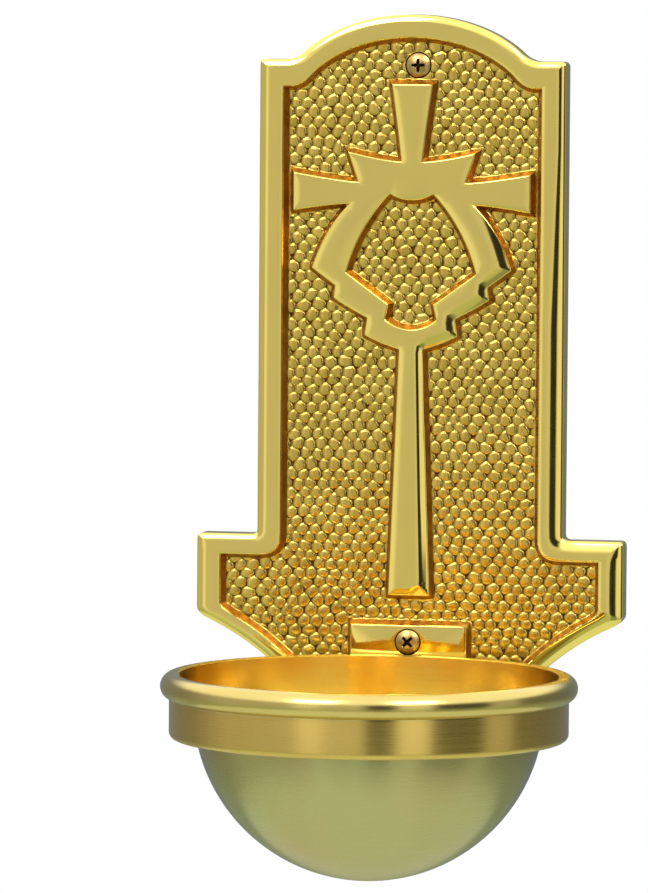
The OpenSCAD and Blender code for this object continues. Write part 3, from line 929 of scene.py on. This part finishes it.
def fixing_screw(shell, x, z, turn):
    """A pan-head machine screw whose recess faces the wall and whose end bites into the collar."""
    centre = np.array([x, z])
    face = HOLLOW_H - WASHER_T - BOWL_SCREW_HEAD_H
    rim = BOWL_SCREW_HEAD_R

    def recess(points):
        return recess_depth(points - centre, turn, 2.0, 0.48, 1.4)

    def head(points):
        r = np.minimum(np.hypot(*(points - centre).T) / rim, 1)
        return face + BOWL_SCREW_PAN * (1 - np.sqrt(1 - r ** 2.6 * 0.98)) + recess(points)

    screw_face(shell, x, z, rim, head, recess, 0.15)
    under = face + BOWL_SCREW_HEAD_H
    shank(shell, x, z, [
        (rim, float(head(np.array([[x + rim, z]]))[0])), (rim, under - 0.12), (rim - 0.12, under),
        (BOWL_SCREW_R, under), (BOWL_SCREW_R, BOWL_SCREW_END - 0.3), (BOWL_SCREW_R - 0.3, BOWL_SCREW_END),
    ])


def fixing_washer(shell, x, z):
    low, high, hole, rim, bevel = HOLLOW_H - WASHER_T, HOLLOW_H, BOWL_SCREW_BORE_R, WASHER_R, WASHER_BEVEL
    turned_walls(shell, x, z, [
        (hole, low), (hole, high), (rim - bevel, high), (rim, high - bevel), (rim, low + bevel),
        (rim - bevel, low), (hole, low),
    ])


fixings, washers = Shell(), Shell()
for side, turn in ((-1, 0.5), (1, 1.15)):
    fixing_screw(fixings, side * BOWL_SCREW_X, BOWL_SCREW_Z, turn)
    fixing_washer(washers, side * BOWL_SCREW_X, BOWL_SCREW_Z)
for piece, node in ((fixings.mesh("machine_screws", [zinc, shade_black_metal], 35), "bowl_screws"),
                    (washers.mesh("bevelled_washers", [zinc], 30), "bowl_washers")):
    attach(piece, "root")
    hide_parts(node)

saddle = frame["nodes"]["saddle_block"].data
saddle.materials.clear()
saddle.materials.append(saddle_brass)

# ---------------------------------------------------------------- floor, light and camera

FLOOR_R, FLOOR_Z = 1300, -900
SOFTBOX_HEIGHT, SOFTBOX_SIDE, SOFTBOX_AWAY, SOFTBOX_WATTS = 37, 0.62, 1.6, 8
VIEW_AZIMUTH, VIEW_HEIGHT, VIEW_ROLL, VIEW_AWAY, LENS = 10.99, 4.0, 0.42, 2.5, 293.7
LIGHT_AIM, VIEW_AIM = Vector((0, -0.04, 0.07)), Vector((-0.0279, -0.020, 0.0676))


def studio_floor():
    """A plain pale disc well below the font."""
    n = Finish("pale_floor")
    at = n.coords()
    tone = n.mix(n.ramp(n.noise(at, 3.0, 4.0), 0.3, 0.7), (0.54, 0.60, 0.49, 1), (0.50, 0.56, 0.46, 1))
    material = n.to(Base_Color=tone, Roughness=0.8)
    mesh = bpy.data.meshes.new("studio_floor")
    ring = circle(0, 0, FLOOR_R, 96)
    mesh.from_pydata([(x * MM, y * MM, FLOOR_Z * MM) for x, y in ring], [], [tuple(range(96))])
    mesh.materials.append(material)
    return standing_object("studio_floor", mesh)


studio_floor()


def direction(azimuth, elevation):
    """The way out from the font: azimuth 0 is straight out from the wall, positive to the right."""
    a, e = math.radians(azimuth), math.radians(elevation)
    return Vector((math.sin(a) * math.cos(e), -math.cos(a) * math.cos(e), math.sin(e)))


def softbox(name, azimuth):
    data = bpy.data.lights.new(name, "AREA")
    data.shape = "RECTANGLE"
    data.size, data.size_y, data.energy = SOFTBOX_SIDE, SOFTBOX_SIDE, SOFTBOX_WATTS
    away = direction(azimuth, SOFTBOX_HEIGHT)
    obj = standing_object(name, data)
    obj.location = LIGHT_AIM + away * SOFTBOX_AWAY
    obj.rotation_euler = (-away).to_track_quat("-Z", "Y").to_euler()
    obj.visible_camera = False


softbox("left_softbox", -23)
softbox("right_softbox", 38)


# What the metal sees at eye height, by azimuth: a bright room on the left, dark flags and a
# window on the right, and a dim back.
SIDE_TONES = [
    (-110, 0.30), (-80, 0.60), (-34, 0.58), (-29, 0.95), (-19, 0.95), (-15, 0.66), (-7, 0.62), (2, 0.72), (7, 0.72),
    (10, 0.04), (24, 0.03), (28, 0.95), (44, 0.95), (49, 0.06), (78, 0.08), (84, 0.6), (98, 0.55), (106, 0.20),
]
ROOM_TINT = (1.0, 1.0, 0.97)
BACK_TONE = (0.20, 0.24, 0.27)
LOW_TONE = (0.62, 0.72, 0.52)
TOP_TONE = (1.5, 1.5, 1.45)


def surroundings():
    """White to the eye; to the metal, a bright room with a dark flag on the right and a grey back."""
    world = bpy.data.worlds.new("studio")
    bpy.context.scene.world = world
    world.use_nodes = True
    tree = world.node_tree
    tree.nodes.clear()

    def new(kind, *inputs, **settings):
        node = tree.nodes.new(kind)
        for key, value in settings.items():
            setattr(node, key, value)
        for key, value in inputs:
            feed(tree, node.inputs[key], value)
        return node

    at = new("ShaderNodeTexCoord").outputs["Generated"]
    axes = new("ShaderNodeSeparateXYZ", (0, at)).outputs

    def span(value, low, high):
        return new("ShaderNodeMapRange", ("Value", value), ("From Min", low), ("From Max", high),
                   interpolation_type="SMOOTHSTEP").outputs["Result"]

    def blend(factor, a, b):
        node = new("ShaderNodeMix", (0, factor), data_type="RGBA")
        for key, value in ((6, a), (7, b)):
            feed(tree, node.inputs[key], value)
        return node.outputs[2]

    behind = new("ShaderNodeMath", (0, axes[1]), (1, -1.0), operation="MULTIPLY").outputs[0]
    azimuth = new("ShaderNodeMath", (0, axes[0]), (1, behind), operation="ARCTAN2").outputs[0]
    around = new("ShaderNodeMapRange", ("Value", azimuth), ("From Min", -math.pi), ("From Max", math.pi))
    ramp = new("ShaderNodeValToRGB", (0, around.outputs["Result"]))
    ramp.color_ramp.interpolation = "LINEAR"
    stops = ramp.color_ramp.elements
    stops[0].position, stops[1].position = 0.0, 1.0
    for stop in (stops[0], stops[1]):
        stop.color = (*BACK_TONE, 1)
    for degrees, tone in SIDE_TONES:
        stops.new((degrees + 180) / 360).color = (*(tone * c for c in ROOM_TINT), 1)
    under = new("ShaderNodeMix", (0, 0.55), data_type="RGBA", blend_type="MULTIPLY")
    under.inputs[6].default_value = (*LOW_TONE, 1)
    tree.links.new(ramp.outputs[0], under.inputs[7])
    low = blend(span(axes[2], -0.18, -0.42), ramp.outputs[0], under.outputs[2])
    whole = blend(span(axes[2], 0.25, 0.5), low, (*TOP_TONE, 1))
    room = new("ShaderNodeBackground", ("Color", whole), ("Strength", 1.0))
    white = new("ShaderNodeBackground", ("Color", (1, 1, 1, 1)), ("Strength", 1.0))
    eye = new("ShaderNodeLightPath").outputs["Is Camera Ray"]
    mixed = new("ShaderNodeMixShader", (0, eye), (1, room.outputs[0]), (2, white.outputs[0]))
    out = new("ShaderNodeOutputWorld")
    tree.links.new(mixed.outputs[0], out.inputs["Surface"])


surroundings()


def place_camera():
    data = bpy.data.cameras.new("camera")
    data.lens, data.sensor_width, data.clip_end = LENS, 36.0, 50.0
    camera = standing_object("camera", data)
    away = direction(VIEW_AZIMUTH, VIEW_HEIGHT)
    ahead = -away
    right = ahead.cross(Vector((0, 0, 1))).normalized()
    up = right.cross(ahead).normalized()
    roll = math.radians(VIEW_ROLL)
    x_axis = math.cos(roll) * right + math.sin(roll) * up
    y_axis = -math.sin(roll) * right + math.cos(roll) * up
    turn = Matrix((x_axis, y_axis, away)).transposed().to_4x4()
    camera.matrix_world = Matrix.Translation(VIEW_AIM + away * VIEW_AWAY) @ turn
    bpy.context.scene.camera = camera


place_camera()
bpy.context.scene.view_settings.view_transform = "Standard"
bpy.context.scene.view_settings.look = "None"
